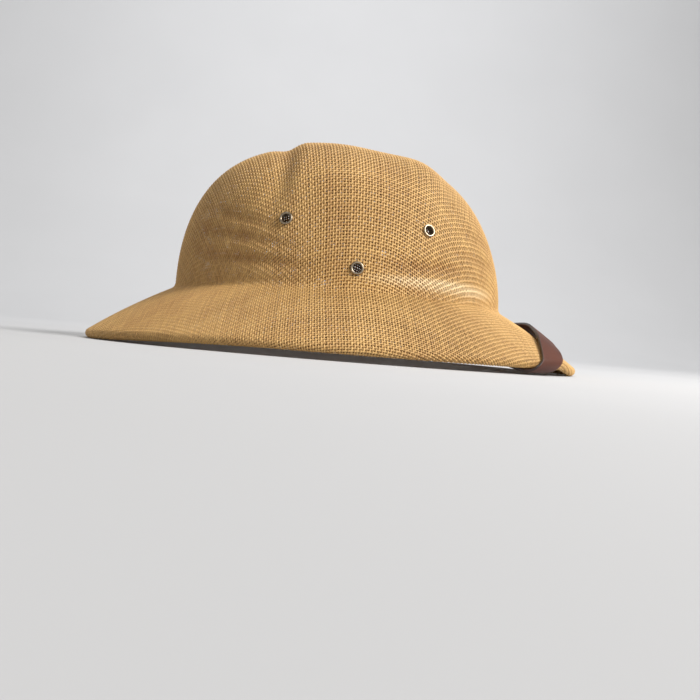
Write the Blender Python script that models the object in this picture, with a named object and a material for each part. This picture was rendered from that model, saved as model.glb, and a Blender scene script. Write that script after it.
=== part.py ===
"""Straw pith helmet: a pressed shell of open-woven straw with a rolled edge, six brass eyelets,
and a leather chin strap that is worn up over the front of the brim.

Metres, +Z up, +X to the front, +Y to the wearer's left. The origin lies under the middle of the
hat, on the surface that the rolled edge rests on.
"""
import math

import bmesh
import bpy
import numpy as np
from mathutils import Matrix

# Shell
HAT_LENGTH = 0.334
HAT_WIDTH = 0.274
CROWN_LENGTH = 0.2225
CROWN_WIDTH = 0.191
CROWN_TOP = 0.1388
CREASE_HEIGHT = 0.0385
CREASE_SIDE_RISE = 0.0045
CREASE_ROUNDING = 0.005
WALL = 0.002
EDGE_THICKNESS = 0.0064
EDGE_FLAT = 0.002
EDGE_LIFT = 0.004
BRIM_BULGE = 0.0012
HALF_CROWN = CROWN_LENGTH / 2
EDGE_RADIUS = EDGE_THICKNESS / 2

# Bend of the crown's profile: a higher number gives a squarer shoulder
TOP_POWER = {"front": 1.75, "back": 2.25, "side": 2.05}
WALL_POWER = {"front": 2.95, "back": 3.25, "side": 3.30}

# The hat rests on the front and the back of its rolled edge, which rises towards the sides, soon
# at the front, where the strap passes under it. Angles in degrees from the middle of each end.
EDGE_RISES_FRONT = (22.0, 36.0)
EDGE_RISES_BACK = (12.0, 75.0)

# Pressed forms of the crown. The dip is a shallow hollow in the raised panel.
PANEL_RAISE = 0.003
PANEL_DIP = 0.8
PANEL_DIP_ALONG = 0.17
PANEL_DIP_REACH = 0.21
GROOVE_DEPTH = 0.0018

# The raised panel over the top ends in a groove at the back and another at the front. Places
# and widths are shares of half the crown's length, depths are shares of the groove's depth.
PANEL_EDGES = [
    {"side": -1, "top": 0.335, "low": 0.485, "step": 0.11, "groove": 0.050, "offset": 0.075, "depth": 0.8},
    {"side": 1, "top": 0.460, "low": 0.490, "step": 0.24, "groove": 0.090, "offset": 0.130, "depth": 0.20},
]
PANEL_FADE_LOW = 0.38
PANEL_FADE_HIGH = 0.76

# Folds that the press left low on the crown. Angles are degrees from the front, heights and
# spreads are shares of the crown's height, depths are shares of the wall, below 0 for a ridge.
FOLDS = [
    {"angle": 130, "reach": 34, "height": 0.16, "spread": 0.042, "climb": 0.07, "depth": 0.80},
    {"angle": 132, "reach": 32, "height": 0.30, "spread": 0.040, "climb": 0.10, "depth": 0.65},
    {"angle": 135, "reach": 28, "height": 0.43, "spread": 0.040, "climb": 0.12, "depth": 0.50},
    {"angle": 60, "reach": 42, "height": 0.075, "spread": 0.046, "climb": 0.00, "depth": -0.70},
    {"angle": 66, "reach": 26, "height": 0.18, "spread": 0.042, "climb": -0.03, "depth": 0.60},
    {"angle": 42, "reach": 26, "height": 0.29, "spread": 0.042, "climb": 0.04, "depth": 0.45},
    {"angle": 38, "reach": 24, "height": 0.43, "spread": 0.042, "climb": 0.04, "depth": 0.35},
]

# Eyelets: place along the hat as a share of half the crown's length, height as a share of the
# crown's height
EYELETS = [
    {"name": "back", "along": -0.400, "height": 0.410},
    {"name": "front", "along": 0.385, "height": 0.418},
    {"name": "low", "along": -0.010, "height": 0.125},
]
EYELET_RADIUS = 0.0041
EYELET_HOLE_RADIUS = 0.0027
EYELET_TUBE = 0.0004
EYELET_FLANGE = 0.0008
EYELET_SEAT = 0.0004

# Form of the eyelet's flanges, as shares of their thickness
EYELET_LIP = 0.4
EYELET_RIM = 0.7
EYELET_RIM_INSET = 0.2
EYELET_BACK = 0.5

# Leather chin strap. It leaves the rolled edge at an angle in degrees from the edge's top.
STRAP_WIDTH = 0.019
STRAP_THICKNESS = 0.0018
STRAP_SEAT = 0.0007
STRAP_END_SEAT = 0.0016
STRAP_FRONT = 0.1363
STRAP_SWEEP = 0.16
STRAP_BEND = 0.020
STRAP_LEAVES_EDGE = 205.0
STRAP_REAR_LIFT = 0.0034
STRAP_FRONT_LIFT = 0.0024
STRAP_UNDER_SAG = 0.0045
STRAP_UNDER_SAG_WAY = (0.0, -2.0, -1.0)
STRAP_END_ALONG = 0.010
STRAP_END_LENGTH = 0.028
STRAP_END_HEIGHT = 0.0410
STRAP_END_CLIMB = 0.22

# Rivet that holds each end of the strap to the inside of the crown
RIVET_RADIUS = 0.0015
RIVET_HEAD_RADIUS = 0.0035
RIVET_HEAD = 0.0010
RIVET_BITE = 0.6
RIVET_BACK = 0.010
RIVET_ABOVE = 0.0055

# Clearance between pieces, and how far the cutters of the eyelets' holes reach past the wall
GAP = 0.0003
CUT_INSIDE = -3 * WALL
CUT_OUTSIDE = 2 * WALL

# Fineness of the faceted solids
AROUND = 64
CROWN_ROWS = 22
CREASE_ROWS = 3
BRIM_ROWS = 4
EYELET_SIDES = 12
STRAP_TOP_ROWS = 7
STRAP_WRAP_ROWS = 8
STRAP_UNDER_ROWS = 8
STRAP_END_ROWS = 3
STRAP_COLUMNS = 4
SHARP_ANGLE = 38.0

# Rows of the rolled edge before and after its flat underside, in degrees from its top outwards
EDGE_TURNS_OUTSIDE = (60, 90, 120, 150)
EDGE_TURNS_INSIDE = (225, 270)

# Crowding of the crown's rows towards the top, 1 for even turns
ROW_CROWDING = 1.35

# Small angles over which the wall's direction is measured, the wider one for a flange's seat
NORMAL_STEP = 1e-4
FLANGE_STEP = 0.03

# Rounds of refinement for a place on the wall, the angles among which the strap's crossing of
# the rolled edge is looked for, and the shares of the brim among which the strap's line is
PLACE_ROUNDS = 12
CROSSING_ANGLES = np.radians(np.linspace(5.0, 80.0, 600))
SHARES = np.linspace(0.0, 1.0, 400)

UP = np.array([0.0, 0.0, 1.0])


def clear_scene():
    for item in list(bpy.data.objects):
        bpy.data.objects.remove(item, do_unlink=True)


def smooth(value):
    """A soft step from 0 to 1."""
    value = np.clip(value, 0.0, 1.0)
    return value * value * (3.0 - 2.0 * value)


def column(values):
    return np.asarray(values, dtype=float)[..., None]


def unit(vectors):
    return vectors / np.linalg.norm(vectors, axis=-1, keepdims=True)


def ellipse(length, width, phi):
    """Points on a level ellipse at height 0."""
    return np.stack([length / 2 * np.cos(phi), width / 2 * np.sin(phi), np.zeros_like(phi)], axis=-1)


def ellipse_normal(length, width, phi):
    return unit(np.stack([np.cos(phi) / length, np.sin(phi) / width, np.zeros_like(phi)], axis=-1))


def powers(phi):
    """The crown's two profile powers, blended round the hat."""
    front = (1.0 + np.cos(phi)) / 2
    side = np.sin(phi) ** 2
    blended = []
    for power in (TOP_POWER, WALL_POWER):
        ends = power["back"] + front * (power["front"] - power["back"])
        blended.append(ends + side * (power["side"] - ends))
    return blended


def crease_height(phi):
    """Height of the crease between crown and brim, which climbs towards the sides."""
    return CREASE_HEIGHT + CREASE_SIDE_RISE * np.sin(phi) ** 2


def crown_base(phi, theta):
    """The crown before pressing. theta is 0 at the crease and a quarter turn at the top."""
    top, wall = powers(phi)
    height = np.maximum(np.sin(theta), 0.0) ** (2.0 / top)
    reach = np.maximum(np.cos(theta), 0.0) ** (2.0 / wall)
    level = ellipse(CROWN_LENGTH, CROWN_WIDTH, phi) * column(reach)
    low = crease_height(phi)
    return level + column(low + (CROWN_TOP - low) * height) * UP


def surface_normal(surface, phi, theta, step):
    """Outward direction of a surface of the crown, from points a small step apart."""
    around = surface(phi + step, theta) - surface(phi - step, theta)
    upward = surface(phi, theta + step) - surface(phi, theta - step)
    return unit(np.cross(around, upward))


def pressing(points, phi):
    """How far the press has moved the crown's wall outwards."""
    along = points[..., 0] / HALF_CROWN
    low = crease_height(phi)
    height = (points[..., 2] - low) / (CROWN_TOP - low)
    fade = smooth((height - PANEL_FADE_LOW) / (PANEL_FADE_HIGH - PANEL_FADE_LOW))
    panel = fade.copy()
    grooves = np.zeros_like(fade)
    for edge in PANEL_EDGES:
        line = edge["low"] + (edge["top"] - edge["low"]) * smooth(height)
        past = edge["side"] * along - line
        panel *= smooth(0.5 - past / edge["step"])
        grooves += edge["depth"] * np.exp(-((past - edge["offset"]) / edge["groove"]) ** 2)
    dip = PANEL_DIP * np.exp(-((along - PANEL_DIP_ALONG) / PANEL_DIP_REACH) ** 2)
    moved = PANEL_RAISE * panel * (1.0 - dip) - GROOVE_DEPTH * fade * grooves
    turn = np.degrees(np.abs(np.arctan2(np.sin(phi), np.cos(phi))))
    for fold in FOLDS:
        away = (turn - fold["angle"]) / fold["reach"]
        level = fold["height"] + fold["climb"] * away
        shape = np.exp(-((height - level) / fold["spread"]) ** 2) * smooth(1.0 - np.abs(away))
        moved -= fold["depth"] * WALL * shape
    return moved


def crown(phi, theta, inwards=0.0):
    """The pressed crown, or the surface that lies the given distance inside it."""
    base = crown_base(phi, theta)
    outwards = surface_normal(crown_base, phi, theta, NORMAL_STEP)
    return base + column(pressing(base, phi) - inwards) * outwards


def crown_angles(along, height):
    """phi and theta of the place on the left wall at x = along, at a share of the height."""
    phi = math.pi / 2
    for _ in range(PLACE_ROUNDS):
        top, wall = powers(phi)
        reach = (1.0 - height ** top) ** (1.0 / wall)
        phi = math.acos(along / (HALF_CROWN * reach))
    return np.array(phi), np.array(math.asin(height ** (top / 2)))


def edge_rise(phi):
    """Height of the rolled edge over the surface that it rests on."""
    turn = np.degrees(np.abs(np.arctan2(np.sin(phi), np.cos(phi))))
    front = (turn - EDGE_RISES_FRONT[0]) / (EDGE_RISES_FRONT[1] - EDGE_RISES_FRONT[0])
    back = (180.0 - turn - EDGE_RISES_BACK[0]) / (EDGE_RISES_BACK[1] - EDGE_RISES_BACK[0])
    return EDGE_LIFT * smooth(front) * smooth(back)


def edge_middle(phi):
    """Middle of the rolled edge's round section."""
    outline = ellipse(HAT_LENGTH, HAT_WIDTH, phi)
    outwards = ellipse_normal(HAT_LENGTH, HAT_WIDTH, phi)
    return outline - EDGE_RADIUS * outwards + column(EDGE_RADIUS + edge_rise(phi)) * UP


def edge_point(phi, turn, distance):
    """A point at a distance from the edge's middle; turn is 0 at the top, then outwards."""
    outwards = ellipse_normal(HAT_LENGTH, HAT_WIDTH, phi)
    return edge_middle(phi) + distance * (column(np.sin(turn)) * outwards + column(np.cos(turn)) * UP)


def crease_point(phi):
    return ellipse(CROWN_LENGTH, CROWN_WIDTH, phi) + column(crease_height(phi)) * UP


def brim_slope(phi):
    """Downward angle of the line from the crease that touches the rolled edge from above."""
    span = edge_middle(phi) - crease_point(phi)
    level = np.linalg.norm(span[..., :2], axis=-1)
    distance = np.linalg.norm(span, axis=-1)
    return np.arctan2(-span[..., 2], level) - np.arcsin(EDGE_RADIUS / distance)


def crease_arc(phi, share, inwards=0.0):
    """The hollow rounding between crown and brim, from the crown's wall at share 0."""
    turn = math.pi / 2 - brim_slope(phi)
    outwards = ellipse_normal(CROWN_LENGTH, CROWN_WIDTH, phi)
    tangent = CREASE_ROUNDING * np.tan(turn / 2)
    middle = crease_point(phi) + CREASE_ROUNDING * outwards + column(tangent) * UP
    swing = share * turn
    radius = CREASE_ROUNDING + inwards
    return middle - radius * (column(np.cos(swing)) * outwards + column(np.sin(swing)) * UP)


def brim(phi, share, inwards=0.0):
    """The brim from the end of the crease's rounding, at share 0, to the rolled edge."""
    slope = brim_slope(phi)
    start = crease_arc(phi, 1.0)
    end = edge_point(phi, slope, EDGE_RADIUS)
    outwards = unit((end - start) * np.array([1.0, 1.0, 0.0]))
    normal = column(np.sin(slope)) * outwards + column(np.cos(slope)) * UP
    bulge = 4.0 * BRIM_BULGE * share * (1.0 - share)
    return start + column(share) * (end - start) + column(bulge - inwards) * normal


def hem_share(phi):
    """Share of the brim at which its underside meets the inner side of the rolled edge."""
    slope = brim_slope(phi)
    span = brim(phi, np.ones_like(phi)) - brim(phi, np.zeros_like(phi))
    level = np.linalg.norm(span[..., :2], axis=-1)
    return 1.0 - EDGE_RADIUS * (1.0 + np.sin(slope)) / level


def crown_thetas():
    """Row angles from just under the top to just over the crease, closer near the top."""
    steps = np.arange(CROWN_ROWS - 1, 0, -1) / CROWN_ROWS
    return math.pi / 2 * (1.0 - (1.0 - steps) ** ROW_CROWDING)


def shell_rings(phi):
    """Rings of the shell from the outer top, down and under the edge, to the inner top."""
    whole = np.ones_like(phi)
    rings = [crown(phi, theta * whole) for theta in crown_thetas()]
    rings += [crease_arc(phi, k / (CREASE_ROWS - 1)) for k in range(CREASE_ROWS)]
    rings += [brim(phi, k / BRIM_ROWS * whole) for k in range(1, BRIM_ROWS + 1)]
    rings += [edge_point(phi, math.radians(turn), EDGE_RADIUS) for turn in EDGE_TURNS_OUTSIDE]
    flat = math.atan2(EDGE_FLAT / 2, EDGE_RADIUS)
    corner = math.hypot(EDGE_FLAT / 2, EDGE_RADIUS)
    rings += [edge_point(phi, math.pi - flat, corner), edge_point(phi, math.pi + flat, corner)]
    rings += [edge_point(phi, math.radians(turn), EDGE_RADIUS) for turn in EDGE_TURNS_INSIDE]
    hem = hem_share(phi)
    rings += [brim(phi, k / BRIM_ROWS * hem, WALL) for k in range(BRIM_ROWS, 0, -1)]
    rings += [crease_arc(phi, k / (CREASE_ROWS - 1), WALL) for k in range(CREASE_ROWS - 1, -1, -1)]
    rings += [crown(phi, theta * whole, WALL) for theta in crown_thetas()[::-1]]
    return rings


def new_object(name, mesh, material):
    item = bpy.data.objects.new(name, mesh)
    bpy.context.scene.collection.objects.link(item)
    mesh.materials.append(material)
    return item


def mesh_from(name, shape):
    """Turns a bmesh into a smooth mesh with its faces pointing out."""
    bmesh.ops.recalc_face_normals(shape, faces=shape.faces)
    mesh = bpy.data.meshes.new(name)
    shape.to_mesh(mesh)
    shape.free()
    mesh.shade_smooth()
    mesh.set_sharp_from_angle(angle=math.radians(SHARP_ANGLE))
    return mesh


def material(name, colour, roughness, metallic=0.0):
    finish = bpy.data.materials.new(name)
    finish.use_nodes = True
    surface = finish.node_tree.nodes["Principled BSDF"]
    surface.inputs["Base Color"].default_value = (*colour, 1.0)
    surface.inputs["Roughness"].default_value = roughness
    surface.inputs["Metallic"].default_value = metallic
    return finish


def loft(rings, first_pole, last_pole):
    """A closed body through rings of points, with a fan of triangles at each end."""
    shape = bmesh.new()
    loops = [[shape.verts.new(point) for point in ring] for ring in rings]
    for upper, lower in zip(loops, loops[1:]):
        for k in range(len(upper)):
            after = (k + 1) % len(upper)
            shape.faces.new((upper[k], lower[k], lower[after], upper[after]))
    for pole, loop in ((first_pole, loops[0]), (last_pole, loops[-1])):
        tip = shape.verts.new(pole)
        for k in range(len(loop)):
            shape.faces.new((tip, loop[k], loop[(k + 1) % len(loop)]))
    return shape


def cut_holes(item, cutters):
    for cutter in cutters:
        cut = item.modifiers.new("hole " + cutter.name, "BOOLEAN")
        cut.operation = "DIFFERENCE"
        cut.solver = "EXACT"
        cut.object = cutter


def make_shell(straw, cutters):
    phi = np.arange(AROUND) * 2.0 * math.pi / AROUND
    top = crown(np.array(0.0), np.array(math.pi / 2 - 10 * NORMAL_STEP)) * UP
    shape = loft(shell_rings(phi), top, top - WALL * UP)
    shell = new_object("shell", mesh_from("shell", shape), straw)
    cut_holes(shell, cutters)


def place(item, point, outwards):
    """Turns local +Z along the outward direction, with local +Y as upright as it can be."""
    side = unit(np.cross(UP, outwards))
    upright = np.cross(outwards, side)
    rows = np.column_stack([side, upright, outwards, point])
    item.matrix_world = Matrix([*rows.tolist(), [0.0, 0.0, 0.0, 1.0]])


def make_cutter(name, radius, low, high, point, outwards):
    """A round cutter from low to high along the outward direction."""
    shape = bmesh.new()
    bmesh.ops.create_cone(
        shape, cap_ends=True, segments=EYELET_SIDES, radius1=radius, radius2=radius, depth=high - low
    )
    bmesh.ops.translate(shape, verts=shape.verts, vec=(0.0, 0.0, (low + high) / 2))
    cutter = bpy.data.objects.new(name, mesh_from(name, shape))
    bpy.context.scene.collection.objects.link(cutter)
    cutter.hide_render = True
    cutter.display_type = "WIRE"
    place(cutter, point, outwards)
    return cutter


def turned(profile):
    """A body made by turning a closed section, given as (radius, height) pairs, round +Z."""
    shape = bmesh.new()
    corners = [shape.verts.new((radius, 0.0, height)) for radius, height in profile]
    edges = [shape.edges.new((corners[k - 1], corners[k])) for k in range(len(corners))]
    bmesh.ops.spin(
        shape, geom=corners + edges, axis=(0, 0, 1), cent=(0, 0, 0), angle=2.0 * math.pi,
        steps=EYELET_SIDES, use_merge=True,
    )
    bmesh.ops.remove_doubles(shape, verts=shape.verts, dist=1e-6)
    return shape


def eyelet_mesh():
    """A spool: a domed flange outside, a tube through the wall and a flat flange inside."""
    barrel = EYELET_HOLE_RADIUS + EYELET_TUBE
    outside = EYELET_SEAT
    inside = -WALL - EYELET_SEAT
    flange = EYELET_FLANGE
    middle = (EYELET_HOLE_RADIUS + EYELET_RADIUS) / 2
    back = inside - EYELET_BACK * flange
    profile = [
        (EYELET_HOLE_RADIUS, outside + EYELET_LIP * flange),
        (middle, outside + flange),
        (EYELET_RADIUS - EYELET_RIM_INSET * flange, outside + EYELET_RIM * flange),
        (EYELET_RADIUS, outside),
        (barrel, outside),
        (barrel, inside),
        (EYELET_RADIUS, inside),
        (EYELET_RADIUS, back),
        (EYELET_HOLE_RADIUS, back),
    ]
    return mesh_from("eyelet", turned(profile))


def wall_place(along, height, side):
    """A point on the outside of the crown's wall and its outward direction; side is 1 for left."""
    phi, theta = crown_angles(along, height)
    mirror = np.array([1.0, side, 1.0])
    return crown(phi, theta) * mirror, surface_normal(crown, phi, theta, FLANGE_STEP) * mirror


def make_eyelets(brass):
    """The six eyelets, and the cutters for their holes in the shell."""
    mesh = eyelet_mesh()
    mesh.materials.append(brass)
    barrel = EYELET_HOLE_RADIUS + EYELET_TUBE
    cutters = []
    for side_name, side in (("right", -1), ("left", 1)):
        for row in EYELETS:
            point, outwards = wall_place(row["along"] * HALF_CROWN, row["height"], side)
            name = f"eyelet_{side_name}_{row['name']}"
            item = bpy.data.objects.new(name, mesh)
            bpy.context.scene.collection.objects.link(item)
            place(item, point, outwards)
            cutters.append(
                make_cutter(name + "_hole", barrel + GAP, CUT_INSIDE, CUT_OUTSIDE, point, outwards)
            )
    return cutters


def strap_crossing(across):
    """phi at which one line along the strap reaches the rolled edge on the left side."""
    phi = CROSSING_ANGLES
    touch = brim(phi, np.ones_like(phi))
    return np.interp(0.0, strap_plan(across, touch[..., 1]) - touch[..., 0], phi)


def strap_plan(across, sideways):
    """x of one line along the strap where it crosses the top of the brim."""
    flattened = across * STRAP_WIDTH * math.cos(float(brim_slope(np.array(0.0))))
    swept = np.hypot(sideways, STRAP_BEND) - STRAP_BEND
    return STRAP_FRONT + flattened - STRAP_SWEEP * swept


def strap_top(across):
    """One line of the strap over the brim, from the middle of the front to the edge."""
    points = []
    last = strap_crossing(across)
    for k in range(STRAP_TOP_ROWS):
        travel = k / STRAP_TOP_ROWS
        phi = np.array(last * travel)
        spots = brim(np.full_like(SHARES, phi), SHARES)
        share = np.interp(0.0, spots[..., 0] - strap_plan(across, spots[..., 1]), SHARES)
        lift = STRAP_REAR_LIFT + (0.5 + across) * (STRAP_FRONT_LIFT - STRAP_REAR_LIFT)
        clear = STRAP_SEAT + STRAP_THICKNESS / 2 + lift * (1.0 - travel ** 2)
        points.append(brim(phi, share, -clear))
    return points


def strap_wrap(across):
    """One line of the strap round the rolled edge, which it crosses at a slant."""
    phi = float(strap_crossing(across))
    outwards = ellipse_normal(HAT_LENGTH, HAT_WIDTH, np.array(phi))
    heading = unit(np.array([-STRAP_SWEEP, 1.0, 0.0]))
    square = heading @ outwards
    slant = math.sqrt(1.0 - square ** 2) / square
    distance = EDGE_RADIUS + STRAP_SEAT + STRAP_THICKNESS / 2
    first = float(brim_slope(np.array(phi)))
    turns = np.linspace(first, math.radians(STRAP_LEAVES_EDGE), STRAP_WRAP_ROWS)
    points = []
    for before, turn in zip([turns[0], *turns[:-1]], turns):
        stretch = math.hypot(HAT_LENGTH / 2 * math.sin(phi), HAT_WIDTH / 2 * math.cos(phi))
        phi += distance * slant * (turn - before) / stretch
        points.append(edge_point(np.array(phi), np.array(turn), distance))
    return points


def strap_end(across):
    """One line of the strap's flat end on the inside of the crown."""
    points = []
    for k in range(STRAP_END_ROWS):
        back = k / (STRAP_END_ROWS - 1)
        along = STRAP_END_ALONG + STRAP_END_LENGTH * (1.0 - back)
        climb = STRAP_END_CLIMB * STRAP_END_LENGTH * (back - 0.5)
        height = STRAP_END_HEIGHT + climb + across * STRAP_WIDTH
        low = crease_height(math.pi / 2)
        share = max(height - low, CREASE_ROUNDING) / (CROWN_TOP - low)
        phi, theta = crown_angles(along, share)
        inwards = WALL + STRAP_END_SEAT + STRAP_THICKNESS / 2
        point = crown(phi, theta, inwards)
        points.append(np.array([along, point[1], height]))
    return points


def strap_under(wrap, end):
    """The free stretch under the brim, a smooth curve from the edge to the inner end."""
    leave = unit(wrap[-1] - wrap[-2])
    arrive = unit(end[1] - end[0])
    reach = np.linalg.norm(end[0] - wrap[-1])
    sag = STRAP_UNDER_SAG * unit(np.array(STRAP_UNDER_SAG_WAY))
    points = []
    for k in range(1, STRAP_UNDER_ROWS):
        s = k / STRAP_UNDER_ROWS
        point = (2 * s ** 3 - 3 * s ** 2 + 1) * wrap[-1] + (3 * s ** 2 - 2 * s ** 3) * end[0]
        point += reach * ((s ** 3 - 2 * s ** 2 + s) * leave + (s ** 3 - s ** 2) * arrive)
        # The factor 27/4 makes the sag reach its full size, two thirds of the way along
        point += 27 / 4 * s ** 2 * (1.0 - s) * sag
        points.append(point)
    return points


def strap_line(across):
    """All points of one line along the left half of the strap."""
    wrap = strap_wrap(across)
    end = strap_end(across)
    return strap_top(across) + wrap + strap_under(wrap, end) + end


def make_strap(leather, cutters):
    lines = [strap_line(k / STRAP_COLUMNS - 0.5) for k in range(STRAP_COLUMNS + 1)]
    shape = bmesh.new()
    columns = [[shape.verts.new(point) for point in line] for line in lines]
    for rear, front in zip(columns, columns[1:]):
        for k in range(len(rear) - 1):
            shape.faces.new((rear[k], front[k], front[k + 1], rear[k + 1]))
    strap = new_object("strap", mesh_from("strap", shape), leather)
    halves = strap.modifiers.new("other half", "MIRROR")
    halves.use_axis = (False, True, False)
    halves.merge_threshold = 0.0001
    skin = strap.modifiers.new("leather", "SOLIDIFY")
    skin.thickness = STRAP_THICKNESS
    skin.offset = 0.0
    skin.use_even_offset = True
    cut_holes(strap, cutters)


def make_rivets(steel):
    """The two hidden rivets, and the cutters for their holes in the strap and the shell."""
    seat = -WALL - STRAP_SEAT - STRAP_END_SEAT - STRAP_THICKNESS
    tip = (RIVET_BITE - 1.0) * WALL
    profile = [
        (0.0, seat - RIVET_HEAD),
        (RIVET_HEAD_RADIUS, seat - RIVET_HEAD),
        (RIVET_HEAD_RADIUS, seat),
        (RIVET_RADIUS, seat),
        (RIVET_RADIUS, tip - GAP),
        (0.0, tip - GAP),
    ]
    low = crease_height(math.pi / 2)
    height = (STRAP_END_HEIGHT - low + RIVET_ABOVE) / (CROWN_TOP - low)
    cutters = []
    for side_name, side in (("right", -1), ("left", 1)):
        point, outwards = wall_place(STRAP_END_ALONG + RIVET_BACK, height, side)
        name = "strap_rivet_" + side_name
        rivet = new_object(name, mesh_from(name, turned(profile)), steel)
        place(rivet, point, outwards)
        cutters.append(
            make_cutter(name + "_hole", RIVET_RADIUS + GAP, seat - RIVET_HEAD, tip, point, outwards)
        )
    return cutters


def build():
    clear_scene()
    straw = material("straw", (0.50, 0.28, 0.10), 0.75)
    brass = material("antique brass", (0.33, 0.24, 0.13), 0.4, 0.9)
    leather = material("brown leather", (0.18, 0.065, 0.035), 0.35)
    steel = material("rivet steel", (0.35, 0.33, 0.30), 0.4, 0.9)
    eyelet_holes = make_eyelets(brass)
    rivet_holes = make_rivets(steel)
    make_shell(straw, eyelet_holes + rivet_holes)
    make_strap(leather, rivet_holes)


build()
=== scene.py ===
"""Straw pith helmet, dressed for a studio picture.

The shell becomes a sheet of open plain-woven straw that is laid over the pressed form and rolled
round the brim's edge. The strap, the eyelets and the rivets get their finer forms and finishes.
"""

import math

import bpy
import numpy as np
from mathutils import Matrix, Vector


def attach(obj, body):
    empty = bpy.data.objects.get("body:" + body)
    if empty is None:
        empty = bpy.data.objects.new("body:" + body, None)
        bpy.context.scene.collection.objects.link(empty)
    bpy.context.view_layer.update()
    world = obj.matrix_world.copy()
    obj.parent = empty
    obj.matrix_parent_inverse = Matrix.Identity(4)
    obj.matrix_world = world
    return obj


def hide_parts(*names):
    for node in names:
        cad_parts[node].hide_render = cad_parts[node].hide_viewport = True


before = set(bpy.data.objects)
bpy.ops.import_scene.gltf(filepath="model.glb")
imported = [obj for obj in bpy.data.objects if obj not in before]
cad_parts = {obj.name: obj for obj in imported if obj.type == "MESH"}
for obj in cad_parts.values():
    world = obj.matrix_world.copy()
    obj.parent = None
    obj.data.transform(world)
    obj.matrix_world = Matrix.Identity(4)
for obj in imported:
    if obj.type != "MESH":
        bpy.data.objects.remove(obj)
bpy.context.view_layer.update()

# Shell, as in the solid model
HAT_LENGTH = 0.334
HAT_WIDTH = 0.274
CROWN_LENGTH = 0.2225
CROWN_WIDTH = 0.191
CROWN_TOP = 0.1388
CREASE_HEIGHT = 0.0385
CREASE_SIDE_RISE = 0.0045
CREASE_ROUNDING = 0.005
WALL = 0.002
EDGE_RADIUS = 0.0032
EDGE_LIFT = 0.004
BRIM_BULGE = 0.0012
TOP_POWER = {"front": 1.75, "back": 2.25, "side": 2.05}
WALL_POWER = {"front": 2.95, "back": 3.25, "side": 3.30}
EDGE_RISES_FRONT = (22.0, 36.0)
EDGE_RISES_BACK = (12.0, 75.0)
PANEL_RAISE = 0.003
PANEL_DIP = 0.8
PANEL_DIP_ALONG = 0.17
PANEL_DIP_REACH = 0.21
GROOVE_DEPTH = 0.0018
PANEL_EDGES = [
    {"side": -1, "top": 0.335, "low": 0.485, "step": 0.11, "groove": 0.050, "offset": 0.075, "depth": 0.8},
    {"side": 1, "top": 0.460, "low": 0.490, "step": 0.24, "groove": 0.090, "offset": 0.130, "depth": 0.20},
]
PANEL_FADE_LOW = 0.38
PANEL_FADE_HIGH = 0.76
FOLDS = [
    {"angle": 130, "reach": 34, "height": 0.16, "spread": 0.042, "climb": 0.07, "depth": 0.80},
    {"angle": 132, "reach": 32, "height": 0.30, "spread": 0.040, "climb": 0.10, "depth": 0.65},
    {"angle": 135, "reach": 28, "height": 0.43, "spread": 0.040, "climb": 0.12, "depth": 0.50},
    {"angle": 60, "reach": 42, "height": 0.075, "spread": 0.046, "climb": 0.00, "depth": -0.70},
    {"angle": 66, "reach": 26, "height": 0.18, "spread": 0.042, "climb": -0.03, "depth": 0.60},
    {"angle": 42, "reach": 26, "height": 0.29, "spread": 0.042, "climb": 0.04, "depth": 0.45},
    {"angle": 38, "reach": 24, "height": 0.43, "spread": 0.042, "climb": 0.04, "depth": 0.35},
]

# Eyelets, strap and rivets, as in the solid model
EYELETS = [
    {"name": "back", "along": -0.400, "height": 0.410},
    {"name": "front", "along": 0.385, "height": 0.418},
    {"name": "low", "along": -0.010, "height": 0.125},
]
EYELET_RADIUS = 0.0041
EYELET_HOLE_RADIUS = 0.0027
EYELET_TUBE = 0.0004
EYELET_FLANGE = 0.0008
EYELET_SEAT = 0.0004
STRAP_WIDTH = 0.019
STRAP_THICKNESS = 0.0018
STRAP_SEAT = 0.0007
STRAP_END_SEAT = 0.0016
STRAP_FRONT = 0.1363
STRAP_SWEEP = 0.16
STRAP_BEND = 0.020
STRAP_LEAVES_EDGE = 205.0
STRAP_REAR_LIFT = 0.0034
STRAP_FRONT_LIFT = 0.0024
STRAP_UNDER_SAG = 0.0045
STRAP_UNDER_SAG_WAY = (0.0, -2.0, -1.0)
STRAP_END_ALONG = 0.010
STRAP_END_LENGTH = 0.028
STRAP_END_HEIGHT = 0.0410
STRAP_END_CLIMB = 0.22
RIVET_RADIUS = 0.0015
RIVET_HEAD_RADIUS = 0.0035
RIVET_HEAD = 0.0010
RIVET_BACK = 0.010
RIVET_ABOVE = 0.0055

# Steps over which a direction on the wall is taken, for a flange and for the wall itself, and the
# angles and shares of the brim among which the strap's line is looked for
FLANGE_STEP = 0.03
NORMAL_STEP = 1e-4
CROSSING_ANGLES = np.radians(np.linspace(5.0, 80.0, 600))
SHARES = np.linspace(0.0, 1.0, 400)

# Weave. A strand's width, shift and sway are shares of the pitch, the ripple's length is a number of
# crossings, bunching is a share, ROLL_END is in degrees, and the rest are metres.
PITCH = 0.00190
STRAND_WIDTH = 0.74
STRAND_THICKNESS = 0.00046
WAVE = 0.00026
SHEET_DEPTH = 0.00042
STRAND_SHIFT = 0.05
STRAND_SHIFT_LIMIT = 0.12
STRAND_SWAY = 0.04
SWAY_LENGTH = 0.026
WIDTH_SPREAD = 0.10
WIDTH_LIMITS = (-0.28, 0.22)
RIPPLE_CROSSINGS = 17.0
RIPPLE_SHARE = 0.25
CLOTH_BUNCHING = 0.8
ROLL_END = 345.0
ROLL_CORE = 0.0021
MERGE_DISTANCE = 1e-6
ARRAY_MERGE_DISTANCE = 1e-5
SMALLEST_DISTANCE = 1e-6

# Holes that the eyelets sit in, and how far from the wall's surface they are cut
CUT_RADIUS = 0.0032
CUT_DEPTH = 0.01

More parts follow.
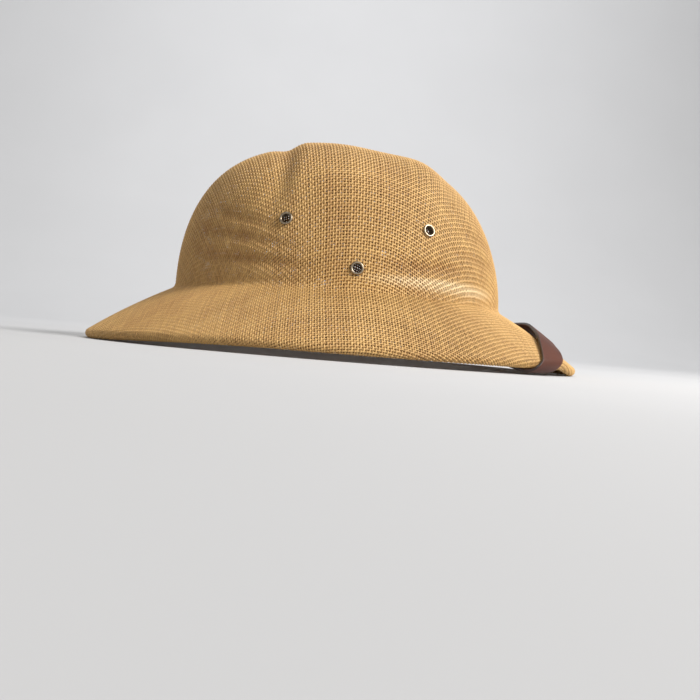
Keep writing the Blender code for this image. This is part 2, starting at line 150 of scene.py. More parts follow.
# Margins in a strand's UV map, as shares of one face, and the difference in radians below which two
# corners have the same angle round the strand
PICTURE_MARGIN_ALONG = 0.05
PICTURE_MARGIN_ACROSS = 0.1
SAME_ANGLE = 0.1

# Fineness of the table of the hat's surface, and of the rings that it is read from
TABLE_TURNS = 480
TABLE_STATIONS = 640
CROWN_RINGS = 140
CREASE_RINGS = 12
BRIM_RINGS = 50
ROLL_RINGS = 44
RING_STARTS = {"crease": 0.05, "brim": 0.02, "roll": 0.03}
RING_CROWDING = 1.3

# Rounds of refinement for a place on the wall, and the search for a cloth point in the table:
# rounds, longest steps and range of the stations. The top's middle needs no search.
WALL_ROUNDS = 12
PLACE_ROUNDS = 14
LONGEST_DOWN = 60.0
LONGEST_ROUND = 12.0
STATION_RANGE = (0.5, 1.15 * TABLE_STATIONS)
TOP_MIDDLE = 0.002
SMALLEST_AREA = 1e-12

# Fineness of the strap
STRAP_TOP_ROWS = 26
STRAP_WRAP_ROWS = 24
STRAP_UNDER_ROWS = 24
STRAP_END_ROWS = 6
STRAP_COLUMNS = 10
STRAP_HALVES_MERGE = 0.0001
STRAP_EDGE_ROUNDING = 0.0004
STRAP_EDGE_STEPS = 3

# Fineness of the eyelets and rivets. A dome ends a little before its middle.
EYELET_SIDES = 40
EYELET_FLANGE_STEPS = 9
EYELET_FLANGE_FULLNESS = 0.8
RIVET_SIDES = 32
RIVET_DOME_STEPS = 7
RIVET_DOME_TURN = 85.0
SHARP_ANGLE = math.radians(50)
LEATHER_SHARP_ANGLE = math.radians(40)

# Colours as seen on a screen, 0 to 255
# STRAW_SHADE to STRAW_LIGHT spans random tone and the painted shade of the folds and the crossings
STRAW_SHADE = (132, 78, 30)
STRAW_LIGHT = (238, 196, 126)
# Painted highlight for the pressed ridges
STRAW_RIDGE_HIGHLIGHT = (246, 222, 180)
# Painted shade for the inner side of the sheet
STRAW_INSIDE = (60, 36, 16)
CORE_COLOURS = ((92, 54, 22), (150, 100, 52))
LEATHER_COLOURS = ((44, 16, 0), (98, 44, 8))
LEATHER_EDGE_COLOURS = ((26, 15, 12), (52, 32, 24))
BRASS_COLOURS = ((120, 104, 84), (198, 184, 162))
STEEL_COLOURS = ((120, 118, 112), (176, 172, 164))
PAPER_COLOURS = ((192, 193, 195), (198, 199, 201))

# Camera. The focal length is in pixels of a picture 700 pixels wide, the angles are in degrees.
PICTURE = 700
FOCAL = 932.0
CAMERA_AZIMUTH = -6.57
CAMERA_DISTANCE = 0.647
CAMERA_HEIGHT = 0.013
CAMERA_TARGET = (0.0113, 0.0, 0.0052)
CAMERA_ROLL = 4.66
CAMERA_NEAREST = 0.01
SENSOR = 36.0

# Studio: floor and wall, and two round lights
FLOOR_SIZE = 8.0
FLOOR_MIDDLE = -1.0
WALL_HEIGHT = 4.0
WALL_ROUNDING = 1.4
WALL_STEPS = 16
SKY_TINT = (1.0, 0.97, 0.92, 1.0)
SKY_STRENGTH = 0.42
LIGHTS = [
    {"name": "key", "spot": (0.9, -0.6, 0.8), "target": (0.0, 0.0, 0.06), "size": 0.45,
     "power": 19.2, "tint": (1.0, 0.98, 0.96)},
    {"name": "wall light", "spot": (0.3, 1.0, 2.4), "target": (0.3, 3.0, 0.5), "size": 2.0,
     "power": 58.0, "tint": (0.99, 0.99, 1.0)},
]

UP = np.array([0.0, 0.0, 1.0])
random = np.random.default_rng(11)


# The hat's surface, from the same formulas as the solid model

def soft_step(value):
    value = np.clip(value, 0.0, 1.0)
    return value * value * (3.0 - 2.0 * value)


def column(values):
    return np.asarray(values, dtype=float)[..., None]


def unit(vectors):
    return vectors / np.linalg.norm(vectors, axis=-1, keepdims=True)


def ellipse(length, width, phi):
    return np.stack([length / 2 * np.cos(phi), width / 2 * np.sin(phi), np.zeros_like(phi)], axis=-1)


def ellipse_normal(length, width, phi):
    return unit(np.stack([np.cos(phi) / length, np.sin(phi) / width, np.zeros_like(phi)], axis=-1))


def powers(phi):
    """How full the crown is at its top and at its wall, as powers, in each direction."""
    front = (1.0 + np.cos(phi)) / 2
    side = np.sin(phi) ** 2
    blended = []
    for power in (TOP_POWER, WALL_POWER):
        ends = power["back"] + front * (power["front"] - power["back"])
        blended.append(ends + side * (power["side"] - ends))
    return blended


def crease_height(phi):
    return CREASE_HEIGHT + CREASE_SIDE_RISE * np.sin(phi) ** 2


def crown_base(phi, theta):
    """The crown before pressing. theta is 0 at the crease and a quarter turn at the top."""
    top, wall = powers(phi)
    height = np.maximum(np.sin(theta), 0.0) ** (2.0 / top)
    reach = np.maximum(np.cos(theta), 0.0) ** (2.0 / wall)
    level = ellipse(CROWN_LENGTH, CROWN_WIDTH, phi) * column(reach)
    low = crease_height(phi)
    return level + column(low + (CROWN_TOP - low) * height) * UP


def surface_normal(surface, phi, theta, step):
    """Outward direction of a surface, from places a step away on each side."""
    around = surface(phi + step, theta) - surface(phi - step, theta)
    upward = surface(phi, theta + step) - surface(phi, theta - step)
    return unit(np.cross(around, upward))


def pressing(points, phi):
    """How far the press has moved the wall outwards."""
    along = points[..., 0] / (CROWN_LENGTH / 2)
    low = crease_height(phi)
    height = (points[..., 2] - low) / (CROWN_TOP - low)
    fade = soft_step((height - PANEL_FADE_LOW) / (PANEL_FADE_HIGH - PANEL_FADE_LOW))
    panel = fade.copy()
    grooves = np.zeros_like(fade)
    for edge in PANEL_EDGES:
        line = edge["low"] + (edge["top"] - edge["low"]) * soft_step(height)
        past = edge["side"] * along - line
        panel *= soft_step(0.5 - past / edge["step"])
        grooves += edge["depth"] * np.exp(-((past - edge["offset"]) / edge["groove"]) ** 2)
    dip = PANEL_DIP * np.exp(-((along - PANEL_DIP_ALONG) / PANEL_DIP_REACH) ** 2)
    moved = PANEL_RAISE * panel * (1.0 - dip) - GROOVE_DEPTH * fade * grooves
    return moved - WALL * folding(height, phi)


def folding(height, phi):
    """Depth of the folds as a share of the wall, below 0 on a ridge."""
    turn = np.degrees(np.abs(np.arctan2(np.sin(phi), np.cos(phi))))
    depth = np.zeros_like(height)
    for fold in FOLDS:
        away = (turn - fold["angle"]) / fold["reach"]
        level = fold["height"] + fold["climb"] * away
        shape = np.exp(-((height - level) / fold["spread"]) ** 2) * soft_step(1.0 - np.abs(away))
        depth += fold["depth"] * shape
    return depth


def crown(phi, theta, inwards=0.0):
    """The crown after pressing, or a layer at a distance inwards of it."""
    base = crown_base(phi, theta)
    outwards = surface_normal(crown_base, phi, theta, NORMAL_STEP)
    return base + column(pressing(base, phi) - inwards) * outwards


def crown_angles(along, height):
    """phi and theta of the place on the left wall at x = along, at a share of the height."""
    phi = math.pi / 2
    for _ in range(WALL_ROUNDS):
        top, wall = powers(phi)
        reach = (1.0 - height ** top) ** (1.0 / wall)
        phi = math.acos(along / (CROWN_LENGTH / 2 * reach))
    return np.array(phi), np.array(math.asin(height ** (top / 2)))


def wall_place(along, height, side):
    """A point on the outside of the crown's wall and its outward direction; side is 1 for left."""
    phi, theta = crown_angles(along, height)
    mirror = np.array([1.0, side, 1.0])
    return crown(phi, theta) * mirror, surface_normal(crown, phi, theta, FLANGE_STEP) * mirror


def edge_middle(phi):
    """Middle line of the rolled edge, which lifts at the sides of the hat."""
    turn = np.degrees(np.abs(np.arctan2(np.sin(phi), np.cos(phi))))
    front = (turn - EDGE_RISES_FRONT[0]) / (EDGE_RISES_FRONT[1] - EDGE_RISES_FRONT[0])
    back = (180.0 - turn - EDGE_RISES_BACK[0]) / (EDGE_RISES_BACK[1] - EDGE_RISES_BACK[0])
    rise = EDGE_LIFT * soft_step(front) * soft_step(back)
    outline = ellipse(HAT_LENGTH, HAT_WIDTH, phi)
    outwards = ellipse_normal(HAT_LENGTH, HAT_WIDTH, phi)
    return outline - EDGE_RADIUS * outwards + column(EDGE_RADIUS + rise) * UP


def edge_point(phi, turn, distance):
    """A point at a distance from the rolled edge's middle; turn is 0 at the top, then outwards."""
    outwards = ellipse_normal(HAT_LENGTH, HAT_WIDTH, phi)
    way = column(np.sin(turn)) * outwards + column(np.cos(turn)) * UP
    return edge_middle(phi) + distance * way


def crease_point(phi):
    """Where the crown's wall and the brim would meet with no rounding between them."""
    return ellipse(CROWN_LENGTH, CROWN_WIDTH, phi) + column(crease_height(phi)) * UP


def brim_slope(phi):
    """Angle below the level at which the brim runs down to the top of the rolled edge."""
    span = edge_middle(phi) - crease_point(phi)
    level = np.linalg.norm(span[..., :2], axis=-1)
    distance = np.linalg.norm(span, axis=-1)
    return np.arctan2(-span[..., 2], level) - np.arcsin(EDGE_RADIUS / distance)


def crease_arc(phi, share, inwards=0.0):
    """The rounding between the wall, at share 0, and the brim, at share 1."""
    turn = math.pi / 2 - brim_slope(phi)
    outwards = ellipse_normal(CROWN_LENGTH, CROWN_WIDTH, phi)
    middle = crease_point(phi) + CREASE_ROUNDING * outwards
    middle = middle + column(CREASE_ROUNDING * np.tan(turn / 2)) * UP
    swing = share * turn
    radius = CREASE_ROUNDING + inwards
    return middle - radius * (column(np.cos(swing)) * outwards + column(np.sin(swing)) * UP)


def brim(phi, share, inwards=0.0):
    """The brim from the end of the crease's rounding, at share 0, to the rolled edge."""
    slope = brim_slope(phi)
    start = crease_arc(phi, 1.0)
    end = edge_point(phi, slope, EDGE_RADIUS)
    outwards = unit((end - start) * np.array([1.0, 1.0, 0.0]))
    normal = column(np.sin(slope)) * outwards + column(np.cos(slope)) * UP
    bulge = 4.0 * BRIM_BULGE * share * (1.0 - share)
    return start + column(share) * (end - start) + column(bulge - inwards) * normal


# Small helpers for modelling by hand

def deselect_all():
    if bpy.context.object and bpy.context.object.mode != "OBJECT":
        bpy.ops.object.mode_set(mode="OBJECT")
    bpy.ops.object.select_all(action="DESELECT")


def pick(item):
    deselect_all()
    item.select_set(True)
    bpy.context.view_layer.objects.active = item


def start_edit(item, select="SELECT", by="VERT"):
    """Opens a piece in edit mode, with all or none of it selected."""
    pick(item)
    bpy.ops.object.mode_set(mode="EDIT")
    bpy.ops.mesh.select_mode(type=by)
    bpy.ops.mesh.select_all(action=select)


def end_edit():
    bpy.ops.object.mode_set(mode="OBJECT")


def finish_modifiers(item):
    pick(item)
    for modifier in list(item.modifiers):
        bpy.ops.object.modifier_apply(modifier=modifier.name)


def read_points(mesh):
    points = np.empty(len(mesh.vertices) * 3)
    mesh.vertices.foreach_get("co", points)
    return points.reshape(-1, 3)


def write_points(mesh, points):
    mesh.vertices.foreach_set("co", np.ascontiguousarray(points, dtype=np.float32).ravel())
    mesh.update()


def place_in_mesh(item, point, outwards):
    """Turns local +Z along the outward direction and moves the mesh there."""
    side = unit(np.cross(UP, outwards))
    upright = np.cross(outwards, side)
    rows = np.column_stack([side, upright, outwards, point])
    item.data.transform(Matrix([*rows.tolist(), [0.0, 0.0, 0.0, 1.0]]))
    item.data.update()


# The surface as a table, and the way that flat cloth lies on it

def change_round(field):
    """Change of a field of the table from the column before each place to the column after it."""
    return np.roll(field, -1, axis=1) - np.roll(field, 1, axis=1)


def make_table():
    """Places, directions and cloth coordinates of the hat's outside, from the top to the end of
    the roll. Columns go round the hat, rows go down it in even steps."""
    phi = np.arange(TABLE_TURNS) * 2.0 * math.pi / TABLE_TURNS
    whole = np.ones_like(phi)
    slope = brim_slope(phi)
    top, _ = powers(phi)
    low = crease_height(phi)
    start = CREASE_ROUNDING * np.tan((math.pi / 2 - slope) / 2) / (CROWN_TOP - low)
    last = np.arcsin(start ** (top / 2))
    rings = []
    for share in np.linspace(0.0, 1.0, CROWN_RINGS) ** RING_CROWDING:
        rings.append(crown_base(phi, math.pi / 2 + share * (last - math.pi / 2)))
    for share in np.linspace(RING_STARTS["crease"], 1.0, CREASE_RINGS):
        rings.append(crease_arc(phi, share * whole))
    for share in np.linspace(RING_STARTS["brim"], 1.0, BRIM_RINGS):
        rings.append(brim(phi, share * whole))
    flat_rings = len(rings)
    for share in np.linspace(RING_STARTS["roll"], 1.0, ROLL_RINGS):
        turn = slope + share * (math.radians(ROLL_END) - slope)
        rings.append(edge_point(phi, turn, EDGE_RADIUS))
    places = np.array(rings)
    steps = np.linalg.norm(np.diff(places, axis=0), axis=-1)
    down = np.vstack([np.zeros_like(phi), np.cumsum(steps, axis=0)])
    spread = np.hypot(places[..., 0], places[..., 1])
    rolled = down[flat_rings:] - down[flat_rings - 1]
    spread[flat_rings:] = spread[flat_rings - 1] + np.cos(slope) * rolled
    azimuth = np.arctan2(places[..., 1], places[..., 0])
    azimuth[0] = azimuth[1]
    across, along = np.sin(azimuth), np.cos(azimuth)
    cloth_x = along * (down + CLOTH_BUNCHING * (spread - down) * across ** 4)
    cloth_y = across * (down + CLOTH_BUNCHING * (spread - down) * along ** 4)

    shares = np.linspace(0.0, 1.0, TABLE_STATIONS)
    fields = np.dstack([places, cloth_x, cloth_y])
    table = np.empty((TABLE_STATIONS, TABLE_TURNS, 5))
    for turn in range(TABLE_TURNS):
        travelled = down[:, turn] / down[-1, turn]
        for field in range(5):
            table[:, turn, field] = np.interp(shares, travelled, fields[:, turn, field])
    base, cloth = table[..., :3], table[..., 3:]
    normal = np.cross(np.gradient(base, axis=0), change_round(base))
    normal[0] = UP
    normal = unit(normal)
    moved = pressing(base, phi * np.ones((TABLE_STATIONS, 1)))
    return {
        "place": base + column(moved) * normal,
        "normal": normal,
        "cloth": cloth,
        "cloth_down": np.gradient(cloth, axis=0),
        "cloth_round": change_round(cloth) / 2,
        "length": down[-1],
    }


def look_up(field, turn, station):
    """Reads the table between its rows and columns."""
    row = np.clip(np.floor(station).astype(int), 0, TABLE_STATIONS - 2)
    first = np.floor(turn).astype(int)
    down = column(station - row)
    beside = column(turn - first)
    first, second = first % TABLE_TURNS, (first + 1) % TABLE_TURNS
    upper = field[row, first] * (1.0 - beside) + field[row, second] * beside
    lower = field[row + 1, first] * (1.0 - beside) + field[row + 1, second] * beside
    return upper * (1.0 - down) + lower * down


def find_on_hat(table, cloth):
    """Turn and station in the table of points that are given in the flat cloth."""
    angle = np.arctan2(cloth[:, 1] / CROWN_WIDTH, cloth[:, 0] / CROWN_LENGTH)
    turn = angle / (2.0 * math.pi) * TABLE_TURNS
    distance = np.hypot(cloth[:, 0], cloth[:, 1])
    station = distance / table["length"].mean() * (TABLE_STATIONS - 1)
    settled = distance < TOP_MIDDLE
    for _ in range(PLACE_ROUNDS):
        miss = cloth - look_up(table["cloth"], turn, station)
        down = look_up(table["cloth_down"], turn, station)
        around = look_up(table["cloth_round"], turn, station)
        area = down[:, 0] * around[:, 1] - down[:, 1] * around[:, 0]
        area = np.where(np.abs(area) < SMALLEST_AREA, SMALLEST_AREA, area)
        step_down = (miss[:, 0] * around[:, 1] - miss[:, 1] * around[:, 0]) / area
        step_round = (down[:, 0] * miss[:, 1] - down[:, 1] * miss[:, 0]) / area
        step_down = np.clip(step_down, -LONGEST_DOWN, LONGEST_DOWN)
        step_round = np.clip(step_round, -LONGEST_ROUND, LONGEST_ROUND)
        station = np.clip(station + np.where(settled, 0.0, step_down), *STATION_RANGE)
        turn = turn + np.where(settled, 0.0, step_round)
    return turn, station


# The weave

def eyelet_places():
    """Name, point and outward direction of every eyelet."""
    places = []
    for side_name, side in (("right", -1), ("left", 1)):
        for row in EYELETS:
            point, outwards = wall_place(row["along"] * CROWN_LENGTH / 2, row["height"], side)
            places.append((f"brass_eyelet_{side_name}_{row['name']}", point, outwards))
    return places


def make_crossings(table):
    """Where the strands cross, each a little off its even place, and where the cloth ends."""
    reach = np.abs(table["cloth"]).max(axis=(0, 1))
    half_x, half_y = (int(math.ceil(size / PITCH)) + 1 for size in reach)
    i = np.arange(-half_x, half_x)
    j = np.arange(-half_y, half_y)
    x, y = np.meshgrid((i + 0.5) * PITCH, (j + 0.5) * PITCH, indexing="ij")
    phase_x = random.uniform(0.0, 2.0 * math.pi, (len(i), 1))
    phase_y = random.uniform(0.0, 2.0 * math.pi, (1, len(j)))
    shift_x = random.normal(0.0, STRAND_SHIFT, (len(i), 1))
    shift_y = random.normal(0.0, STRAND_SHIFT, (1, len(j)))
    sway_x = STRAND_SWAY * np.sin(2.0 * math.pi * y / SWAY_LENGTH + phase_x)
    sway_y = STRAND_SWAY * np.sin(2.0 * math.pi * x / SWAY_LENGTH + phase_y)
    x = x + PITCH * (np.clip(shift_x, -STRAND_SHIFT_LIMIT, STRAND_SHIFT_LIMIT) + sway_x)
    y = y + PITCH * (np.clip(shift_y, -STRAND_SHIFT_LIMIT, STRAND_SHIFT_LIMIT) + sway_y)
    cloth = np.stack([x, y], axis=-1)
    turn, station = find_on_hat(table, cloth.reshape(-1, 2))
    turn, station = turn.reshape(x.shape), station.reshape(x.shape)
    miss = np.linalg.norm(cloth - look_up(table["cloth"], turn, station), axis=-1)
    outside = (station > TABLE_STATIONS - 1) | (miss > PITCH / 2)
    station = np.clip(station, 0.0, TABLE_STATIONS - 1)
    place = look_up(table["place"], turn, station)
    place -= SHEET_DEPTH * look_up(table["normal"], turn, station)
    closed = outside.copy()
    for _, point, outwards in eyelet_places():
        offset = place - point
        depth = offset @ outwards
        level = offset - column(depth) * outwards
        distance = np.linalg.norm(level, axis=-1)
        cut = (distance < CUT_RADIUS) & (np.abs(depth) < CUT_DEPTH)
        way = level / column(np.maximum(distance, SMALLEST_DISTANCE))
        rim = point + column(depth) * outwards + CUT_RADIUS * way
        place[cut] = rim[cut]
        closed |= cut
    tones = [random.uniform(0.0, 1.0, count) for count in x.shape]
    widths = []
    for count in x.shape:
        spread = random.normal(0.0, WIDTH_SPREAD, count)
        widths.append(1.0 + np.clip(spread, *WIDTH_LIMITS))
    return {
        "cloth": cloth,
        "place": place,
        "closed": closed,
        "half_x": half_x,
        "half_y": half_y,
        "tones": tones,
        "widths": widths,
    }


def straight_strands(name, stations, strands):
    """Straight flat tubes side by side along X, with a ring of four corners at every crossing."""
    deselect_all()
    bpy.ops.mesh.primitive_circle_add(
        vertices=4, radius=1.0, fill_type="NOTHING", rotation=(0.0, math.pi / 2, 0.0)
    )
    item = bpy.context.object
    item.name = name
    bpy.ops.object.transform_apply(location=True, rotation=True, scale=True)
    start_edit(item)
    bpy.ops.transform.resize(value=(1.0, STRAND_WIDTH * PITCH / 2, STRAND_THICKNESS / 2))
    bpy.ops.mesh.extrude_region_move(TRANSFORM_OT_translate={"value": (PITCH, 0.0, 0.0)})
    bpy.ops.mesh.select_all(action="SELECT")
    bpy.ops.mesh.normals_make_consistent(inside=False)
    end_edit()
    strand = item.data
    picture = strand.uv_layers.new(name="OFBake")
    for side, face in enumerate(strand.polygons):
        corners = [strand.loops[k].vertex_index for k in face.loop_indices]
        angles = [math.atan2(strand.vertices[v].co.z, strand.vertices[v].co.y) for v in corners]
        for loop, corner, angle in zip(face.loop_indices, corners, angles):
            lower = math.isclose(angle, min(angles), abs_tol=SAME_ANGLE)
            start = strand.vertices[corner].co.x < PITCH / 2
            down = PICTURE_MARGIN_ACROSS if lower else 1.0 - PICTURE_MARGIN_ACROSS
            along = PICTURE_MARGIN_ALONG if start else 1.0 - PICTURE_MARGIN_ALONG
            picture.data[loop].uv = (along / stations, (side + down) / 4 / strands)
    for label, count, way, slide in (
        ("along the strand", stations, (PITCH, 0.0, 0.0), (1.0 / stations, 0.0)),
        ("side by side", strands, (0.0, PITCH, 0.0), (0.0, 1.0 / strands)),
    ):
        row = item.modifiers.new(label, "ARRAY")
        row.count = count
        row.use_relative_offset = False
        row.use_constant_offset = True
        row.constant_offset_displace = way
        row.use_merge_vertices = label == "along the strand"
        row.merge_threshold = ARRAY_MERGE_DISTANCE
        row.offset_u, row.offset_v = slide
    finish_modifiers(item)
    return item


def weave(name, table, crossings, crosswise, positive):
    """One half of the strands that run along the hat, or across it, laid on the hat."""
    half_x, half_y = crossings["half_x"], crossings["half_y"]
    along_half, across_half = (half_y, half_x) if crosswise else (half_x, half_y)
    item = straight_strands(name, 2 * along_half - 1, across_half)
    mesh = item.data
    flat = read_points(mesh)
    station = np.rint(flat[:, 0] / PITCH).astype(int)
    strand = np.rint(flat[:, 1] / PITCH).astype(int)
    side = flat[:, 1] - strand * PITCH
    strand = across_half + strand if positive else across_half - 1 - strand
    i, j = (strand, station) if crosswise else (station, strand)
    over = np.where((i + j + crosswise) % 2 == 0, 1.0, -1.0)
    cloth = crossings["cloth"][i, j].copy()
    direction = 0 if crosswise else 1
    side = side * crossings["widths"][direction][strand]
    if crosswise:
        cloth[:, 0] -= side
    else:
        cloth[:, 1] += side
    turn, down = find_on_hat(table, cloth)
    closed = crossings["closed"][i, j]
    down = np.clip(down, 0.0, TABLE_STATIONS - 1)
    rise = flat[:, 2] + over * WAVE - SHEET_DEPTH
    points = look_up(table["place"], turn, down) + column(rise) * look_up(table["normal"], turn, down)
    points[closed] = crossings["place"][i, j][closed]
    write_points(mesh, points)

    # Painted shade in the folds and a painted highlight on the pressed ridges follow the depth of the
    # folds
    around = np.arctan2(points[:, 1] / CROWN_WIDTH, points[:, 0] / CROWN_LENGTH)
    low = crease_height(around)
    folds = folding((points[:, 2] - low) / (CROWN_TOP - low), around)
    tone = crossings["tones"][direction][strand]
    waves = station / RIPPLE_CROSSINGS + RIPPLE_CROSSINGS * tone
    ripple = 0.5 + 0.5 * np.sin(2.0 * math.pi * waves)
    for label, values in (
        ("straw_tone", (1.0 - RIPPLE_SHARE) * tone + RIPPLE_SHARE * ripple),
        # Painted shade where a strand dips under the strand that crosses it, lighter where it rides over
        ("straw_crest", 0.5 + 0.5 * over),
        ("straw_folds", folds),
        # Marks the inner side of the sheet, which gets painted shade
        ("straw_outside", 0.5 + flat[:, 2] / STRAND_THICKNESS),
    ):
        mesh.attributes.new(label, "FLOAT", "POINT").data.foreach_set("value", values)

    corners = np.empty(len(mesh.polygons) * 4, dtype=int)
    mesh.polygons.foreach_get("vertices", corners)
    unwanted = closed[corners.reshape(-1, 4)].all(axis=1)
    start_edit(item, "DESELECT", "FACE")
    end_edit()
    mesh.polygons.foreach_set("select", unwanted)
    bpy.ops.object.mode_set(mode="EDIT")
    bpy.ops.mesh.delete(type="FACE")
    bpy.ops.mesh.select_all(action="SELECT")
    bpy.ops.mesh.remove_doubles(threshold=MERGE_DISTANCE)
    end_edit()
    bpy.ops.object.shade_smooth()
    return item


def roll_core():
    """The stiff core inside the rolled edge, which shows dark between the strands."""
    deselect_all()
    bpy.ops.mesh.primitive_torus_add(
        major_radius=1.0, minor_radius=0.25, major_segments=180, minor_segments=10
    )
    item = bpy.context.object
    item.name = "roll_core"
    points = read_points(item.data)
    reach = np.hypot(points[:, 0], points[:, 1])
    phi = np.arctan2(points[:, 1], points[:, 0])
    turn = np.arctan2(reach - 1.0, points[:, 2])
    write_points(item.data, edge_point(phi, turn, ROLL_CORE))
    bpy.ops.object.shade_smooth()
    return item


# Strap

def strap_plan(across, sideways):
    """x of one line along the strap where it crosses the top of the brim."""
    flattened = across * STRAP_WIDTH * math.cos(float(brim_slope(np.array(0.0))))
    swept = np.hypot(sideways, STRAP_BEND) - STRAP_BEND
    return STRAP_FRONT + flattened - STRAP_SWEEP * swept


def strap_crossing(across):
    """phi at which one line along the strap reaches the rolled edge on the left side."""
    touch = brim(CROSSING_ANGLES, np.ones_like(CROSSING_ANGLES))
    return np.interp(0.0, strap_plan(across, touch[..., 1]) - touch[..., 0], CROSSING_ANGLES)


def strap_top(across):
    """One line of the strap over the brim, from the middle of the front to the edge."""
    points = []
    last = strap_crossing(across)
    for k in range(STRAP_TOP_ROWS):
        travel = k / STRAP_TOP_ROWS
        phi = np.array(last * travel)
        spots = brim(np.full_like(SHARES, phi), SHARES)
        share = np.interp(0.0, spots[..., 0] - strap_plan(across, spots[..., 1]), SHARES)
        lift = STRAP_REAR_LIFT + (0.5 + across) * (STRAP_FRONT_LIFT - STRAP_REAR_LIFT)
        clear = STRAP_SEAT + STRAP_THICKNESS / 2 + lift * (1.0 - travel ** 2)
        points.append(brim(phi, share, -clear))
    return points


def strap_wrap(across):
    """One line of the strap round the rolled edge, which it crosses at a slant."""
    phi = float(strap_crossing(across))
    outwards = ellipse_normal(HAT_LENGTH, HAT_WIDTH, np.array(phi))
    heading = unit(np.array([-STRAP_SWEEP, 1.0, 0.0]))
    square = heading @ outwards
    slant = math.sqrt(1.0 - square ** 2) / square
    distance = EDGE_RADIUS + STRAP_SEAT + STRAP_THICKNESS / 2
    first = float(brim_slope(np.array(phi)))
    turns = np.linspace(first, math.radians(STRAP_LEAVES_EDGE), STRAP_WRAP_ROWS)
    points = []
    for before, turn in zip([turns[0], *turns[:-1]], turns):
        stretch = math.hypot(HAT_LENGTH / 2 * math.sin(phi), HAT_WIDTH / 2 * math.cos(phi))
        phi += distance * slant * (turn - before) / stretch
        points.append(edge_point(np.array(phi), np.array(turn), distance))
    return points


def strap_end(across):
    """One line of the strap's flat end on the inside of the crown."""
    points = []
    for k in range(STRAP_END_ROWS):
        back = k / (STRAP_END_ROWS - 1)
        along = STRAP_END_ALONG + STRAP_END_LENGTH * (1.0 - back)
        climb = STRAP_END_CLIMB * STRAP_END_LENGTH * (back - 0.5)
        height = STRAP_END_HEIGHT + climb + across * STRAP_WIDTH
        low = crease_height(math.pi / 2)
        share = max(height - low, CREASE_ROUNDING) / (CROWN_TOP - low)
        phi, theta = crown_angles(along, share)
        point = crown(phi, theta, WALL + STRAP_END_SEAT + STRAP_THICKNESS / 2)
        points.append(np.array([along, point[1], height]))
    return points


def strap_under(wrap, end):
    """One line of the strap's sagging way under the brim, from the edge to the flat end."""
    leave = unit(wrap[-1] - wrap[-2])
    arrive = unit(end[1] - end[0])
    reach = np.linalg.norm(end[0] - wrap[-1])
    sag = STRAP_UNDER_SAG * unit(np.array(STRAP_UNDER_SAG_WAY))
    points = []
    for k in range(1, STRAP_UNDER_ROWS):
        s = k / STRAP_UNDER_ROWS
        point = (2 * s ** 3 - 3 * s ** 2 + 1) * wrap[-1] + (3 * s ** 2 - 2 * s ** 3) * end[0]
        point += reach * ((s ** 3 - 2 * s ** 2 + s) * leave + (s ** 3 - s ** 2) * arrive)
        point += 27 / 4 * s ** 2 * (1.0 - s) * sag
        points.append(point)
    return points


def strap_line(across):
    """All points of one line along the left half of the strap."""
    wrap = strap_wrap(across)
    end = strap_end(across)
    return strap_top(across) + wrap + strap_under(wrap, end) + end


def leather_strap():
    """The strap as one band of leather with rounded, painted edges."""
    rows = STRAP_TOP_ROWS + STRAP_WRAP_ROWS + STRAP_UNDER_ROWS - 1 + STRAP_END_ROWS
    deselect_all()
    bpy.ops.mesh.primitive_grid_add(
        x_subdivisions=rows - 1, y_subdivisions=STRAP_COLUMNS, size=2.0
    )
    item = bpy.context.object
    item.name = "leather_strap"
    lines = np.array([strap_line(k / STRAP_COLUMNS - 0.5) for k in range(STRAP_COLUMNS + 1)])
    flat = read_points(item.data)
    row = np.rint((flat[:, 0] + 1.0) / 2.0 * (rows - 1)).astype(int)
    line = np.rint((flat[:, 1] + 1.0) / 2.0 * STRAP_COLUMNS).astype(int)
    write_points(item.data, lines[line, row])
    halves = item.modifiers.new("other half", "MIRROR")
    halves.use_axis = (False, True, False)
    halves.merge_threshold = STRAP_HALVES_MERGE
    finish_modifiers(item)
    start_edit(item)
    bpy.ops.mesh.normals_make_consistent(inside=False)
    end_edit()
    skin = item.modifiers.new("leather", "SOLIDIFY")
    skin.thickness = STRAP_THICKNESS
    skin.offset = 0.0
    skin.use_even_offset = True
    skin.material_offset_rim = 1
    rounding = item.modifiers.new("rounded edges", "BEVEL")
    rounding.width = STRAP_EDGE_ROUNDING
    rounding.segments = STRAP_EDGE_STEPS
    rounding.limit_method = "ANGLE"
    rounding.angle_limit = SHARP_ANGLE
    return item


# Eyelets and rivets

def turned_piece(name, profile, sides):
    """A round piece, drawn out ring by ring from its first ring; rows are (radius, height)."""
    deselect_all()
    radius, height = profile[0]
    bpy.ops.mesh.primitive_circle_add(
        vertices=sides, radius=radius, fill_type="NOTHING", location=(0.0, 0.0, height)
    )
    item = bpy.context.object
    item.name = name
    bpy.ops.object.transform_apply(location=True, rotation=True, scale=True)
    start_edit(item)
    for (radius, height), (wider, higher) in zip(profile, profile[1:]):
        up = (0.0, 0.0, higher - height)
        bpy.ops.mesh.extrude_region_move(TRANSFORM_OT_translate={"value": up})
        bpy.ops.transform.resize(value=(wider / radius, wider / radius, 1.0))
    bpy.ops.mesh.select_all(action="SELECT")
    bpy.ops.mesh.remove_doubles(threshold=MERGE_DISTANCE)
    bpy.ops.mesh.fill_holes(sides=0)
    bpy.ops.mesh.normals_make_consistent(inside=False)
    end_edit()
    bpy.ops.object.shade_smooth_by_angle(angle=SHARP_ANGLE)
    return item


